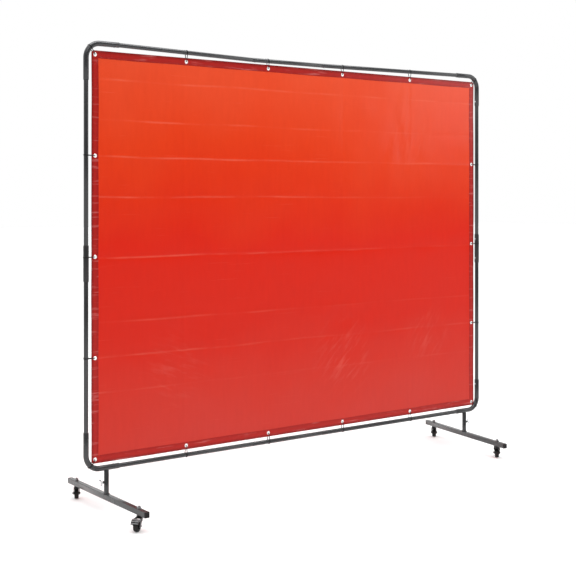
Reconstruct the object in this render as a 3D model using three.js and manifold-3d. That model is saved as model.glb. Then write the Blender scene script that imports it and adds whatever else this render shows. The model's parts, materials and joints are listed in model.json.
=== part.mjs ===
// Welding curtain screen: a vinyl curtain tied inside a knock-down tube frame, carried by two
// castered feet that are clamped to the frame with wing screws.
// Millimetres. +X along the screen, -Y to the front, +Z up, origin on the floor at mid screen.
import * as THREE from 'three';
import { mergeVertices } from 'three/addons/utils/BufferGeometryUtils.js';
import Module from 'manifold-3d';

const wasm = await Module();
wasm.setup();

// Curtain: an eight by six foot sheet with grommets all round its hem.
const CURTAIN_WIDTH = 2438;
const CURTAIN_HEIGHT = 1829;
const CURTAIN_THICKNESS = 0.6;
const CURTAIN_CORNER = 12;        // radius of the curtain's corners, which clear the bends
const GROMMET_COLUMNS = 6;
const GROMMET_ROWS = 5;
const GROMMET_INSET = 18;
const GROMMET_HOLE_RADIUS = 5.5;

// Frame: straight tubes pushed into thicker corner elbows and side couplers.
const GAP = 0.3;                  // clearance between pieces that touch
const SIDE_GAP = 27;              // curtain edge to side tube axis
const TOP_GAP = 32;               // curtain edge to top rail axis
const BOTTOM_GAP = 25;            // curtain edge to bottom rail axis
const TUBE_RADIUS = 10.5;
const TUBE_BORE = 9;
const SPIGOT_RADIUS = 8.6;        // reduced tube end that enters the next tube's bore
const SPIGOT_BORE = 7.2;
const SPIGOT_LENGTH = 32;
const SPIGOT_ROOT = 4;            // length over which a reduced end joins its tube's wall
const SOCKET_RADIUS = 12.5;       // elbows and couplers
const SOCKET_BORE = 11;
const INSERTION = 50;             // how far a tube enters an elbow
const BEND_RADIUS = 66;
const BEND_STEPS = 6;
const ELBOW_LEG = 165;
const COUPLER_LENGTH = 160;
const COUPLER_HEIGHT = 1119;      // middle of the side couplers above the floor
const RAIL_JOINTS = [-340, 98];   // where the three tubes of each rail meet
const TOP_RAIL_SAG = [14, 12.5];  // how far the top rail hangs down at those joints

// Feet: a square tube bar with an upright sleeve that swallows the frame's post.
const BAR_SIZE = 25;
const BAR_WALL = 2;
const BAR_LENGTH = 700;
const BAR_UNDERSIDE = 65;
const POST_INSET = 102;           // side tube axis to post axis
const POST_RADIUS = 9;            // spigot welded under the bottom elbow
const POST_BORE = 7.4;
const POST_END_GAP = 20;          // spigot's lower end above the bar
const POST_IN_BORE = 4.6;         // how far the spigot's upper end reaches into the elbow's bore
const SLEEVE_RADIUS = 11.1;
const SLEEVE_BORE = 9.5;
const RAIL_ABOVE_BAR = 118;       // bottom rail axis above the top of the bar
const CAP_THICKNESS = 3;
const CAP_PLUG_DEPTH = 15;
const RIGHT_FOOT_TURN = -9.6;     // degrees, the right foot stands turned on its post
const WELD_LEG = 3.5;             // size of the weld round the foot of the sleeve
const WELD_CLEARANCE = 30;        // height over which the sleeve's bore is opened again after welding
const SCREW_HEIGHT = 53;          // wing screw axis above the top of the bar
const SCREW_RADIUS = 2.8;
const SCREW_TURN = -40;           // degrees, how the wings stand
const SCREW_BOSS = [20, 28];      // where the wings' boss starts and ends, from the post's axis
const NUT_RADIUS = 5.8;           // nut welded to the sleeve for the screw
const NUT_END = 17;
const WING_THICKNESS = 2.4;

// Casters: 50 mm stem casters, measured from the stem's axis with the wheel trailing to +X.
const STEM_SPACING = 574;
const WHEEL_RADIUS = 25;
const WHEEL_WIDTH = 20;
const WHEEL_SIDES = 24;
const SMALL_SIDES = 12;           // sides of bolts, holes and hubs
const HUB_RADIUS = 17.8;
const HUB_WEB = 10;
const HUB_RIM = 17;
const TYRE_SEAT = 18.5;
const TRAIL = 24;
const FORK_WIDTH = 28;
const FORK_SHEET = 2.5;
const FORK_TOP = 54.8;
const STEM_HOLE = 5.3;
const STEM_RADIUS = 4.9;
const STEM_ABOVE_BAR = 12;
const CUP_RADIUS = 12;            // bearing cup between fork and bar
const STEM_NUT_HEIGHT = 8;
const STEM_NUT_RADIUS = 9.5;
const AXLE_RADIUS = 3;
const AXLE_HOLE = 3.2;
const AXLE_BOSS = 8.5;            // rounded end of each fork leg, about the axle
const AXLE_HEX_RADIUS = 5.6;      // axle bolt's head and nut
const FORK_REAR = 17;             // fork crown's end over the wheel, from the stem's axis
const PEDAL_PIVOT = { x: 8, z: 45 };
const PEDAL_RADIUS = 32;          // inside of the pedal's tread, about the axle
const PEDAL_SHEET = 3;
const PEDAL_TREAD = [20, 66];     // degrees about the axle between which the tread runs
const PEDAL_STUD = 2.4;
const PEDAL_ARM = 2;              // thickness of the pedal's arms
const SWIVELS = {                 // degrees, where each wheel trails to, from +X of its foot
  front_left: 218,
  rear_left: 64,
  front_right: 54,
  rear_right: 50,
};
const BRAKED = ['front_left', 'front_right'];

// Worked out from the dimensions above.
const SIDE_X = CURTAIN_WIDTH / 2 + SIDE_GAP;
const BAR_TOP = BAR_UNDERSIDE + BAR_SIZE;
const BOTTOM_Z = BAR_TOP + RAIL_ABOVE_BAR;
const CURTAIN_BOTTOM = BOTTOM_Z + BOTTOM_GAP;
const TOP_Z = CURTAIN_BOTTOM + CURTAIN_HEIGHT + TOP_GAP;
const POST_X = SIDE_X - POST_INSET;
const SOCKET_MOUTH = SIDE_X - ELBOW_LEG;
const AXLE_Z = WHEEL_RADIUS * Math.cos(Math.PI / WHEEL_SIDES);   // the tyre stands on a flat

const TUBE_SEGMENTS = 8;          // half the sides of a round tube
const paint = { color: 0x3f4143, roughness: 0.55, metalness: 0.6 };
const coupler = { color: 0x1b1b1d, roughness: 0.6, metalness: 0.3 };
const barPaint = { color: 0x77787a, roughness: 0.5, metalness: 0.6 };
const blackPlastic = { color: 0x111112, roughness: 0.5, metalness: 0 };
const rubber = { color: 0x18181a, roughness: 0.8, metalness: 0 };
const blackSteel = { color: 0x202124, roughness: 0.45, metalness: 0.7 };
const zinc = { color: 0xb4b6b8, roughness: 0.35, metalness: 0.9 };
const vinyl = { color: 0xde2f17, roughness: 0.25, metalness: 0 };

const radians = THREE.MathUtils.degToRad;
const at = (x, y, z) => new THREE.Vector3(x, y, z);

// A path through given points, with one sweep step from each point to the next.
class PointPath extends THREE.Curve {
  constructor(points) {
    super();
    this.points = points;
  }

  getPoint(t, target = new THREE.Vector3()) {
    const last = this.points.length - 1;
    const place = THREE.MathUtils.clamp(t, 0, 1) * last;
    const index = Math.min(Math.floor(place), last - 1);
    return target.lerpVectors(this.points[index], this.points[index + 1], place - index);
  }

  getUtoTmapping(u) {
    return u;
  }
}

function ring(outer, inner) {
  const shape = new THREE.Shape();
  shape.absarc(0, 0, outer, 0, 2 * Math.PI);
  if (inner > 0) {
    const hole = new THREE.Path();
    hole.absarc(0, 0, inner, 0, 2 * Math.PI);
    shape.holes.push(hole);
  }
  return shape;
}

function tube(points, outer, inner = 0) {
  return new THREE.ExtrudeGeometry(ring(outer, inner), {
    steps: points.length - 1,
    curveSegments: TUBE_SEGMENTS,
    extrudePath: new PointPath(points),
  });
}

// A flat plate cut to a shape drawn in X and Z, with its middle plane at y.
function plate(shape, thickness, y = 0, curveSegments = 6) {
  const options = { depth: thickness, bevelEnabled: false, curveSegments };
  return new THREE.ExtrudeGeometry(shape, options)
    .rotateX(Math.PI / 2)
    .translate(0, y + thickness / 2, 0);
}

function box(width, depth, height, x = 0, y = 0, z = 0) {
  return new THREE.BoxGeometry(width, depth, height).translate(x, y, z);
}

// A prism or cylinder standing on z, along +Z.
function upright(radius, z, height, sides) {
  return new THREE.CylinderGeometry(radius, radius, height, sides)
    .rotateX(Math.PI / 2)
    .translate(0, 0, z + height / 2);
}

// A body turned about the Y axis from [radius, y] pairs.
function turned(profile, sides) {
  const points = profile.map(([radius, y]) => new THREE.Vector2(radius, y));
  return new THREE.LatheGeometry(points, sides);
}

// A closed geometry as a solid that can be joined and cut.
function solid(geometry) {
  const bare = geometry.clone();
  bare.deleteAttribute('normal');
  bare.deleteAttribute('uv');
  const { attributes, index } = mergeVertices(bare, 1e-3);
  const position = attributes.position;
  const corner = [at(0, 0, 0), at(0, 0, 0), at(0, 0, 0)];
  const faces = [];
  let volume = 0;
  for (let i = 0; i < index.count; i += 3) {
    const face = [index.getX(i), index.getX(i + 1), index.getX(i + 2)];
    if (new Set(face).size < 3) continue;
    face.forEach((vertex, k) => corner[k].fromBufferAttribute(position, vertex));
    volume += corner[0].dot(corner[1].clone().cross(corner[2]));
    faces.push(face);
  }
  const outward = volume > 0 ? faces : faces.map((face) => face.reverse());
  return new wasm.Manifold(new wasm.Mesh({
    numProp: 3,
    vertProperties: new Float32Array(position.array),
    triVerts: new Uint32Array(outward.flat()),
  }));
}

function fromSolid(manifold) {
  const { vertProperties, triVerts } = manifold.getMesh();
  const geometry = new THREE.BufferGeometry();
  geometry.setAttribute('position', new THREE.BufferAttribute(new Float32Array(vertProperties), 3));
  geometry.setIndex(new THREE.BufferAttribute(new Uint32Array(triVerts), 1));
  geometry.computeVertexNormals();
  return geometry;
}

// Joins the first list of geometries, then cuts every geometry of the second list out of them.
function joined(parts, cuts = []) {
  let body = parts.map(solid).reduce((sum, next) => sum.add(next));
  for (const cut of cuts) body = body.subtract(solid(cut));
  return fromSolid(body);
}

function mesh(name, geometry, look) {
  const node = new THREE.Mesh(geometry, new THREE.MeshStandardMaterial(look));
  node.name = name;
  return node;
}

// --- Frame -----------------------------------------------------------------

// The corner at side (-1 left, 1 right) and level (-1 bottom, 1 top), from its upright leg to its
// flat leg.
function elbowPath(side, level) {
  const railZ = level > 0 ? TOP_Z : BOTTOM_Z;
  const points = [at(side * SIDE_X, 0, railZ - level * ELBOW_LEG)];
  for (let step = 0; step <= BEND_STEPS; step += 1) {
    const angle = (step / BEND_STEPS) * (Math.PI / 2);
    const x = side * (SIDE_X - BEND_RADIUS + BEND_RADIUS * Math.cos(angle));
    const z = railZ - level * (BEND_RADIUS - BEND_RADIUS * Math.sin(angle));
    points.push(at(x, 0, z));
  }
  points.push(at(side * SOCKET_MOUTH, 0, railZ));
  return points;
}

function topElbow(side) {
  return tube(elbowPath(side, 1), SOCKET_RADIUS, SOCKET_BORE);
}

// The bottom elbows carry a post that the foot's sleeve slides over.
function bottomElbow(side) {
  const postTop = BOTTOM_Z - SOCKET_BORE + POST_IN_BORE;
  const post = [at(side * POST_X, 0, postTop), at(side * POST_X, 0, BAR_TOP + POST_END_GAP)];
  const elbow = tube(elbowPath(side, -1), SOCKET_RADIUS, SOCKET_BORE);
  return joined([elbow, tube(post, POST_RADIUS, POST_BORE)]);
}

// How far the top rail hangs below its straight line at x.
function sagAt(x) {
  const [left, right] = RAIL_JOINTS;
  if (x <= left) return TOP_RAIL_SAG[0] * Math.max(0, (x + SOCKET_MOUTH) / (left + SOCKET_MOUTH));
  if (x >= right) return TOP_RAIL_SAG[1] * Math.max(0, (SOCKET_MOUTH - x) / (SOCKET_MOUTH - right));
  return THREE.MathUtils.mapLinear(x, left, right, TOP_RAIL_SAG[0], TOP_RAIL_SAG[1]);
}

// One tube of a rail through the given x stations, with a reduced end past its last station
// where it enters the next tube.
function railTube(stations, level, hasSpigot) {
  const railZ = level > 0 ? TOP_Z : BOTTOM_Z;
  const place = (x) => at(x, 0, level > 0 ? railZ - sagAt(x) : railZ);
  const body = tube(stations.map(place), TUBE_RADIUS, TUBE_BORE);
  if (!hasSpigot) return body;
  const end = stations[stations.length - 1];
  const root = end - SPIGOT_ROOT;
  const neck = tube([place(root), place(end)], (TUBE_BORE + TUBE_RADIUS) / 2, SPIGOT_BORE);
  const spigotPath = [place(root), place(end), place(end + SPIGOT_LENGTH)];
  return joined([body, neck, tube(spigotPath, SPIGOT_RADIUS, SPIGOT_BORE)]);
}

function rail(name, level) {
  const [left, right] = RAIL_JOINTS;
  const tip = SOCKET_MOUTH + INSERTION;
  return [
    mesh(`${name}_left_tube`, railTube([-tip, -SOCKET_MOUTH, left - GAP / 2], level, true), paint),
    mesh(`${name}_middle_tube`, railTube([left + GAP / 2, right - GAP / 2], level, true), paint),
    mesh(`${name}_right_tube`, railTube([right + GAP / 2, SOCKET_MOUTH, tip], level, false), paint),
  ];
}

function side(name, sign) {
  const x = sign * SIDE_X;
  const lower = [at(x, 0, BOTTOM_Z + ELBOW_LEG - INSERTION), at(x, 0, COUPLER_HEIGHT - GAP)];
  const upper = [at(x, 0, COUPLER_HEIGHT + GAP), at(x, 0, TOP_Z - ELBOW_LEG + INSERTION)];
  const sleeve = [-1, 1].map((end) => at(x, 0, COUPLER_HEIGHT + end * COUPLER_LENGTH / 2));
  return [
    mesh(`${name}_side_lower_tube`, tube(lower, TUBE_RADIUS, TUBE_BORE), paint),
    mesh(`${name}_side_upper_tube`, tube(upper, TUBE_RADIUS, TUBE_BORE), paint),
    mesh(`${name}_side_coupler`, tube(sleeve, SOCKET_RADIUS, SOCKET_BORE), coupler),
    mesh(`top_${name}_elbow`, topElbow(sign), paint),
    mesh(`bottom_${name}_elbow`, bottomElbow(sign), paint),
  ];
}

// --- Curtain ---------------------------------------------------------------

// Grommet centres run round the hem only, none in the middle of the sheet.
function grommetCentres() {
  const centres = [];
  for (let column = 0; column < GROMMET_COLUMNS; column += 1) {
    for (let row = 0; row < GROMMET_ROWS; row += 1) {
      const onEdge = column % (GROMMET_COLUMNS - 1) === 0 || row % (GROMMET_ROWS - 1) === 0;
      if (!onEdge) continue;
      const u = column / (GROMMET_COLUMNS - 1) - 0.5;
      const v = row / (GROMMET_ROWS - 1);
      const x = u * (CURTAIN_WIDTH - 2 * GROMMET_INSET);
      const z = CURTAIN_BOTTOM + GROMMET_INSET + v * (CURTAIN_HEIGHT - 2 * GROMMET_INSET);
      centres.push([x, z]);
    }
  }
  return centres;
}

function curtain() {
  const x = CURTAIN_WIDTH / 2 - CURTAIN_CORNER;
  const bottom = CURTAIN_BOTTOM + CURTAIN_CORNER;
  const top = CURTAIN_BOTTOM + CURTAIN_HEIGHT - CURTAIN_CORNER;
  const outline = new THREE.Shape();
  outline.absarc(x, top, CURTAIN_CORNER, 0, Math.PI / 2);
  outline.absarc(-x, top, CURTAIN_CORNER, Math.PI / 2, Math.PI);
  outline.absarc(-x, bottom, CURTAIN_CORNER, Math.PI, 1.5 * Math.PI);
  outline.absarc(x, bottom, CURTAIN_CORNER, 1.5 * Math.PI, 2 * Math.PI);
  for (const [u, v] of grommetCentres()) {
    const hole = new THREE.Path();
    hole.absarc(u, v, GROMMET_HOLE_RADIUS, 0, 2 * Math.PI);
    outline.holes.push(hole);
  }
  return plate(outline, CURTAIN_THICKNESS, 0, 4);
}

// --- Feet, in the foot's own frame: post axis at the origin, bar along Y ----

// A ring of weld between an upright tube and the bar it stands on.
function weldRing() {
  const inside = SLEEVE_RADIUS - 1;
  const profile = [
    [inside, 0],
    [SLEEVE_RADIUS + WELD_LEG, 0],
    [inside, WELD_LEG + 1],
    [inside, 0],
  ];
  return turned(profile, 2 * TUBE_SEGMENTS).rotateX(Math.PI / 2).translate(0, 0, BAR_TOP);
}

function footBar(sign) {
  const middle = BAR_UNDERSIDE + BAR_SIZE / 2;
  const bore = BAR_SIZE - 2 * BAR_WALL;
  const sleeveTop = BOTTOM_Z - SOCKET_RADIUS - GAP;
  const screwZ = BAR_TOP + SCREW_HEIGHT;
  const along = (radius, from, to, sides) => new THREE.CylinderGeometry(radius, radius, to - from, sides)
    .rotateZ(Math.PI / 2)
    .translate(sign * (from + to) / 2, 0, screwZ);
  const stemHole = (y) => upright(STEM_HOLE, BAR_UNDERSIDE - 1, BAR_SIZE + 2, SMALL_SIDES)
    .translate(0, y, 0);
  const sleeveEnds = [at(0, 0, BAR_TOP - BAR_WALL / 2), at(0, 0, sleeveTop)];
  const middleOfWall = (SLEEVE_RADIUS + SLEEVE_BORE) / 2;
  return joined(
    [
      box(BAR_SIZE, BAR_LENGTH, BAR_SIZE, 0, 0, middle),
      tube(sleeveEnds, SLEEVE_RADIUS, SLEEVE_BORE),
      weldRing(),
      along(NUT_RADIUS, middleOfWall, NUT_END, 6),
    ],
    [
      box(bore, BAR_LENGTH + 2, bore, 0, 0, middle),
      stemHole(-STEM_SPACING / 2),
      stemHole(STEM_SPACING / 2),
      along(SCREW_RADIUS + GAP, SLEEVE_BORE - 1, NUT_END + 1, SMALL_SIDES),
      upright(SLEEVE_BORE, BAR_TOP, WELD_CLEARANCE, 2 * TUBE_SEGMENTS),
    ],
  );
}

// A square plug pushed into the bar's end, its flange flush with the bar's outside.
function endCap(end) {
  const middle = BAR_UNDERSIDE + BAR_SIZE / 2;
  const plug = BAR_SIZE - 2 * BAR_WALL - 2 * GAP;
  const face = BAR_LENGTH / 2 + GAP;
  const flange = box(BAR_SIZE, CAP_THICKNESS, BAR_SIZE, 0, end * (face + CAP_THICKNESS / 2), middle);
  const overlap = 1;
  const depth = CAP_PLUG_DEPTH + overlap;
  const plugY = end * (face + overlap - depth / 2);
  return joined([flange, box(plug, depth, plug, 0, plugY, middle)]);
}

// A butterfly wing screw pointing at the post from outside the sleeve, turned about its own axis.
function wingScrew(sign) {
  const [bossStart, bossEnd] = SCREW_BOSS;
  const tip = POST_RADIUS + GAP;
  const shaftEnd = bossStart + 1;
  const shaft = new THREE.CylinderGeometry(SCREW_RADIUS, SCREW_RADIUS, shaftEnd - tip, SMALL_SIDES)
    .rotateZ(Math.PI / 2)
    .translate((shaftEnd + tip) / 2, 0, 0);
  const boss = new THREE.CylinderGeometry(4, 5.2, bossEnd - bossStart, SMALL_SIDES)
    .rotateZ(-Math.PI / 2)
    .translate((bossStart + bossEnd) / 2, 0, 0);
  const parts = [shaft, boss];
  for (const wing of [-1, 1]) {
    const outline = new THREE.Shape();
    outline.moveTo(bossStart + 1, wing * 2);
    outline.lineTo(bossStart + 4, wing * 10);
    outline.absarc(bossStart + 9, wing * 11, 4.6, Math.PI, wing * 0.2, wing > 0);
    outline.lineTo(bossEnd - 0.5, wing * 2);
    parts.push(plate(outline, WING_THICKNESS));
  }
  const body = joined(parts);
  return sign > 0 ? body : body.rotateZ(Math.PI);
}

// --- Casters, in the caster's own frame: stem axis at the origin, wheel trailing to +X ----

function casterStem() {
  const cupBottom = FORK_TOP + GAP;
  const rivetTop = FORK_TOP - FORK_SHEET - GAP;
  const cupTop = BAR_UNDERSIDE - GAP;
  const stemTop = BAR_TOP + STEM_ABOVE_BAR;
  const profile = [
    [0, rivetTop - 2],
    [7, rivetTop - 2],
    [7, rivetTop],
    [STEM_RADIUS, rivetTop],
    [STEM_RADIUS, cupBottom],
    [CUP_RADIUS, cupBottom],
    [CUP_RADIUS, cupTop - 2.7],
    [CUP_RADIUS - 2.5, cupTop],
    [STEM_RADIUS, cupTop],
    [STEM_RADIUS, stemTop],
    [0, stemTop + 1],
  ];
  return joined([turned(profile, SMALL_SIDES).rotateX(Math.PI / 2)]);
}

function stemNut() {
  const hexagon = upright(STEM_NUT_RADIUS, BAR_TOP + GAP, STEM_NUT_HEIGHT, 6);
  return joined([hexagon], [upright(STEM_HOLE, BAR_TOP, STEM_NUT_HEIGHT + 2, SMALL_SIDES)]);
}

function forkLeg() {
  const from = radians(25);
  const to = radians(215);
  const outline = new THREE.Shape();
  outline.moveTo(-7, FORK_TOP);
  outline.lineTo(FORK_REAR, FORK_TOP);
  outline.lineTo(TRAIL + AXLE_BOSS * Math.cos(from), AXLE_Z + AXLE_BOSS * Math.sin(from));
  outline.absarc(TRAIL, AXLE_Z, AXLE_BOSS, from, to, true);
  outline.lineTo(-10, FORK_TOP - 7);
  return outline;
}

function casterFork(braked) {
  const half = FORK_WIDTH / 2;
  const legY = (FORK_WIDTH - FORK_SHEET) / 2;
  const top = new THREE.Shape();
  top.moveTo(FORK_REAR, half);
  top.lineTo(0, half);
  top.absarc(0, 0, half, Math.PI / 2, 1.5 * Math.PI, false);
  top.lineTo(FORK_REAR, -half);
  const options = { depth: FORK_SHEET, bevelEnabled: false, curveSegments: 6 };
  const crown = new THREE.ExtrudeGeometry(top, options).translate(0, 0, FORK_TOP - FORK_SHEET);
  const parts = [crown, plate(forkLeg(), FORK_SHEET, -legY), plate(forkLeg(), FORK_SHEET, legY)];
  if (braked) {
    for (const sign of [-1, 1]) {
      const stud = new THREE.CylinderGeometry(PEDAL_STUD, PEDAL_STUD, 4, SMALL_SIDES);
      parts.push(stud.translate(PEDAL_PIVOT.x, sign * (half + 1), PEDAL_PIVOT.z));
    }
  }
  const axleHole = new THREE.CylinderGeometry(AXLE_HOLE, AXLE_HOLE, FORK_WIDTH + 2, SMALL_SIDES)
    .translate(TRAIL, 0, AXLE_Z);
  return joined(parts, [axleHole, upright(STEM_HOLE, FORK_TOP - 5, 8, SMALL_SIDES)]);
}

function tyre() {
  const half = WHEEL_WIDTH / 2;
  const r = WHEEL_RADIUS;
  const profile = [
    [TYRE_SEAT, -half + 1],
    [r - 2, -half],
    [r, -half + 3],
    [r, half - 3],
    [r - 2, half],
    [TYRE_SEAT, half - 1],
    [TYRE_SEAT, -half + 1],
  ];
  return turned(profile, WHEEL_SIDES).rotateY(Math.PI / WHEEL_SIDES);
}

function hub() {
  const bossEnd = FORK_WIDTH / 2 - FORK_SHEET - GAP;
  const half = [                    // from the boss's end face out to the rim
    [AXLE_HOLE, bossEnd],
    [6, bossEnd],
    [7, HUB_WEB / 2],
    [HUB_RADIUS - 2.3, HUB_WEB / 2],
    [HUB_RADIUS - 1.8, HUB_RIM / 2],
    [HUB_RADIUS, HUB_RIM / 2],
  ];
  const near = half.map(([radius, y]) => [radius, -y]);
  return turned([...near, ...half.reverse(), near[0]], SMALL_SIDES);
}

function axleBolt() {
  const headStart = FORK_WIDTH / 2 + GAP;
  const shaftEnd = FORK_WIDTH / 2 + 6;
  const length = headStart + shaftEnd + 1;
  const head = new THREE.CylinderGeometry(AXLE_HEX_RADIUS, AXLE_HEX_RADIUS, 3.6, 6)
    .translate(0, -headStart - 1.8, 0);
  const shaft = new THREE.CylinderGeometry(AXLE_RADIUS, AXLE_RADIUS, length, SMALL_SIDES)
    .translate(0, shaftEnd - length / 2, 0);
  return joined([head, shaft]);
}

function axleNut() {
  const start = FORK_WIDTH / 2 + GAP;
  const body = new THREE.CylinderGeometry(AXLE_HEX_RADIUS, AXLE_HEX_RADIUS, 4.5, 6)
    .translate(0, start + 2.25, 0);
  const bore = new THREE.CylinderGeometry(AXLE_HOLE, AXLE_HOLE, 10, SMALL_SIDES)
    .translate(0, start + 2, 0);
  return joined([body], [bore]);
}

// The brake pedal's tread curves round the tyre; two arms outside the fork carry it on studs.
function brakePedal() {
  const [from, to] = PEDAL_TREAD.map(radians);
  const outer = PEDAL_RADIUS + PEDAL_SHEET;
  const onCircle = (radius, angle) => [TRAIL + radius * Math.cos(angle), AXLE_Z + radius * Math.sin(angle)];
  const band = new THREE.Shape();
  band.moveTo(...onCircle(outer, from));
  band.absarc(TRAIL, AXLE_Z, outer, from, to, false);
  band.lineTo(...onCircle(PEDAL_RADIUS, to));
  band.absarc(TRAIL, AXLE_Z, PEDAL_RADIUS, to, from, true);
  const arm = new THREE.Shape();
  arm.moveTo(PEDAL_PIVOT.x + 1, PEDAL_PIVOT.z + 5);
  arm.lineTo(PEDAL_PIVOT.x - 4, PEDAL_PIVOT.z + 3);
  arm.lineTo(PEDAL_PIVOT.x - 4, PEDAL_PIVOT.z - 3);
  arm.lineTo(PEDAL_PIVOT.x + 2, PEDAL_PIVOT.z - 5);
  arm.lineTo(...onCircle(PEDAL_RADIUS - 8, radians(70)));
  arm.lineTo(...onCircle(PEDAL_RADIUS + 1, radians(35)));
  arm.lineTo(...onCircle(outer - 1, to));
  const armY = FORK_WIDTH / 2 + GAP + PEDAL_ARM / 2;
  const width = 2 * armY + PEDAL_ARM;
  const hole = PEDAL_STUD + GAP;
  const bores = [-1, 1].map((sign) => new THREE.CylinderGeometry(hole, hole, 6, SMALL_SIDES)
    .translate(PEDAL_PIVOT.x, sign * armY, PEDAL_PIVOT.z));
  return joined([plate(band, width), plate(arm, PEDAL_ARM, -armY), plate(arm, PEDAL_ARM, armY)], bores);
}

function caster(name) {
  const braked = BRAKED.includes(name);
  const swivel = new THREE.Group();
  swivel.rotation.z = radians(SWIVELS[name]);
  swivel.add(mesh(`${name}_fork`, casterFork(braked), blackSteel));
  const axle = new THREE.Group();
  axle.position.set(TRAIL, 0, AXLE_Z);
  axle.add(
    mesh(`${name}_tyre`, tyre(), rubber),
    mesh(`${name}_hub`, hub(), blackPlastic),
    mesh(`${name}_axle_bolt`, axleBolt(), blackSteel),
    mesh(`${name}_axle_nut`, axleNut(), zinc),
  );
  swivel.add(axle);
  if (braked) swivel.add(mesh(`${name}_brake_pedal`, brakePedal(), zinc));
  const group = new THREE.Group();
  group.add(
    swivel,
    mesh(`${name}_caster_stem`, casterStem(), blackSteel),
    mesh(`${name}_stem_nut`, stemNut(), blackSteel),
  );
  return group;
}

function foot(name, sign, turn) {
  const group = new THREE.Group();
  group.position.x = sign * POST_X;
  group.rotation.z = radians(turn);
  const screw = mesh(`${name}_wing_screw`, wingScrew(sign), zinc);
  screw.position.z = BAR_TOP + SCREW_HEIGHT;
  screw.rotation.x = radians(SCREW_TURN);
  group.add(mesh(`${name}_foot_bar`, footBar(sign), barPaint), screw);
  for (const [end, direction] of [['front', -1], ['rear', 1]]) {
    const wheelSet = caster(`${end}_${name}`);
    wheelSet.position.y = direction * STEM_SPACING / 2;
    group.add(wheelSet, mesh(`${end}_${name}_end_cap`, endCap(direction), blackPlastic));
  }
  return group;
}

const screen = new THREE.Group();
screen.add(
  ...rail('top_rail', 1),
  ...rail('bottom_rail', -1),
  ...side('left', -1),
  ...side('right', 1),
  mesh('curtain', curtain(), vinyl),
  foot('left', -1, 0),
  foot('right', 1, RIGHT_FOOT_TURN),
);

export default screen;
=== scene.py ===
import json
import math
import random

import bmesh
import bpy
from mathutils import Matrix, Vector, noise
from mathutils.geometry import delaunay_2d_cdt


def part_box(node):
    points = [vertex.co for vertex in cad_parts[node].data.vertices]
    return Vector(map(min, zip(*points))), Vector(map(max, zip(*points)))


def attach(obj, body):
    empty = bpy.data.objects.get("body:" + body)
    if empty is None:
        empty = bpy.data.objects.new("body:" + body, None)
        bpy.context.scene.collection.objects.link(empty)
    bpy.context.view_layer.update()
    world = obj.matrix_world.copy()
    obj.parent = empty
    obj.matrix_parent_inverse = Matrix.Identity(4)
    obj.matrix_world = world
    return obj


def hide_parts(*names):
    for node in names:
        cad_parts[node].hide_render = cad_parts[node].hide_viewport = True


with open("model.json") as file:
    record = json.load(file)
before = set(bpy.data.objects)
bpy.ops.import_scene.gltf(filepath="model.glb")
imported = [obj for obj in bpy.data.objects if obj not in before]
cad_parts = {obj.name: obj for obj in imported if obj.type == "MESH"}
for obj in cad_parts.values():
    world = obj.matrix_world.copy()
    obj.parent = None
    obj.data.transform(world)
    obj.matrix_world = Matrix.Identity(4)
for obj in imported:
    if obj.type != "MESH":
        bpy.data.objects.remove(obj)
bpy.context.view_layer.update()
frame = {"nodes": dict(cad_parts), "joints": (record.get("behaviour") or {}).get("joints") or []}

scene = bpy.context.scene
rng = random.Random(17)

# Sizes in metres. Round things are given by their radius. Those of the CAD parts are the same as in the CAD.
GAP = 0.0003  # between parts that touch
TUBE, TUBE_BORE = 0.0105, 0.009
SOCKET, SOCKET_BORE = 0.0125, 0.011
INSERTION = 0.050  # how far a rail reaches into a bend
BEND = 0.066  # radius of a bend's axis
ELBOW_LEG = 0.165  # a bend's mouth to the axis of its other leg
SPIGOT, SPIGOT_BORE, SPIGOT_LENGTH = 0.0086, 0.0072, 0.032
SLEEVE, SLEEVE_BORE = 0.0111, 0.0095
POST, POST_BORE = 0.009, 0.0074
POST_INSET = 0.102  # axis of a post to the axis of its side tube
BAR, BAR_WALL, BAR_CORNER, BAR_LENGTH = 0.025, 0.002, 0.0028, 0.700
GROMMET_INSET, GROMMET_HOLE = 0.018, 0.0055
CURTAIN_CORNER, CURTAIN_THICKNESS = 0.012, 0.0006
COLUMNS, ROWS = 6, 5  # eyelets along the curtain and up it
HEM, HEM_THICKNESS = 0.034, 0.0016
SAG = (0.014, 0.0125)  # how far the top rail hangs at its left and its right joint
WHEEL_WIDTH, HUB = 0.020, 0.0178
FORK_WIDTH = 0.028
PEDAL = 0.035  # outside of the pedal's tread, about the axle
STEM = 0.0049
CUP = 0.012

joints = {j["name"]: j for j in frame["joints"]}
nodes = frame["nodes"]


def box_of(node):
    low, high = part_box(node)
    return low, high, (low + high) / 2


SIDE_X = box_of("right_side_coupler")[2].x
TOP_Z = box_of("top_left_elbow")[1].z - SOCKET
BOTTOM_Z = box_of("bottom_rail_middle_tube")[2].z
COUPLER_Z = [box_of("left_side_coupler")[0].z, box_of("left_side_coupler")[1].z]
MOUTH_X = SIDE_X - ELBOW_LEG
JOINTS_X = [box_of("bottom_rail_middle_tube")[0].x, box_of("bottom_rail_right_tube")[0].x]
BAR_BOTTOM = box_of("left_foot_bar")[0].z
BAR_TOP = BAR_BOTTOM + BAR
SHEET_LOW, SHEET_HIGH, _ = box_of("curtain")
SHEET_WIDTH = SHEET_HIGH.x - SHEET_LOW.x
SHEET_HEIGHT = SHEET_HIGH.z - SHEET_LOW.z

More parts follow.
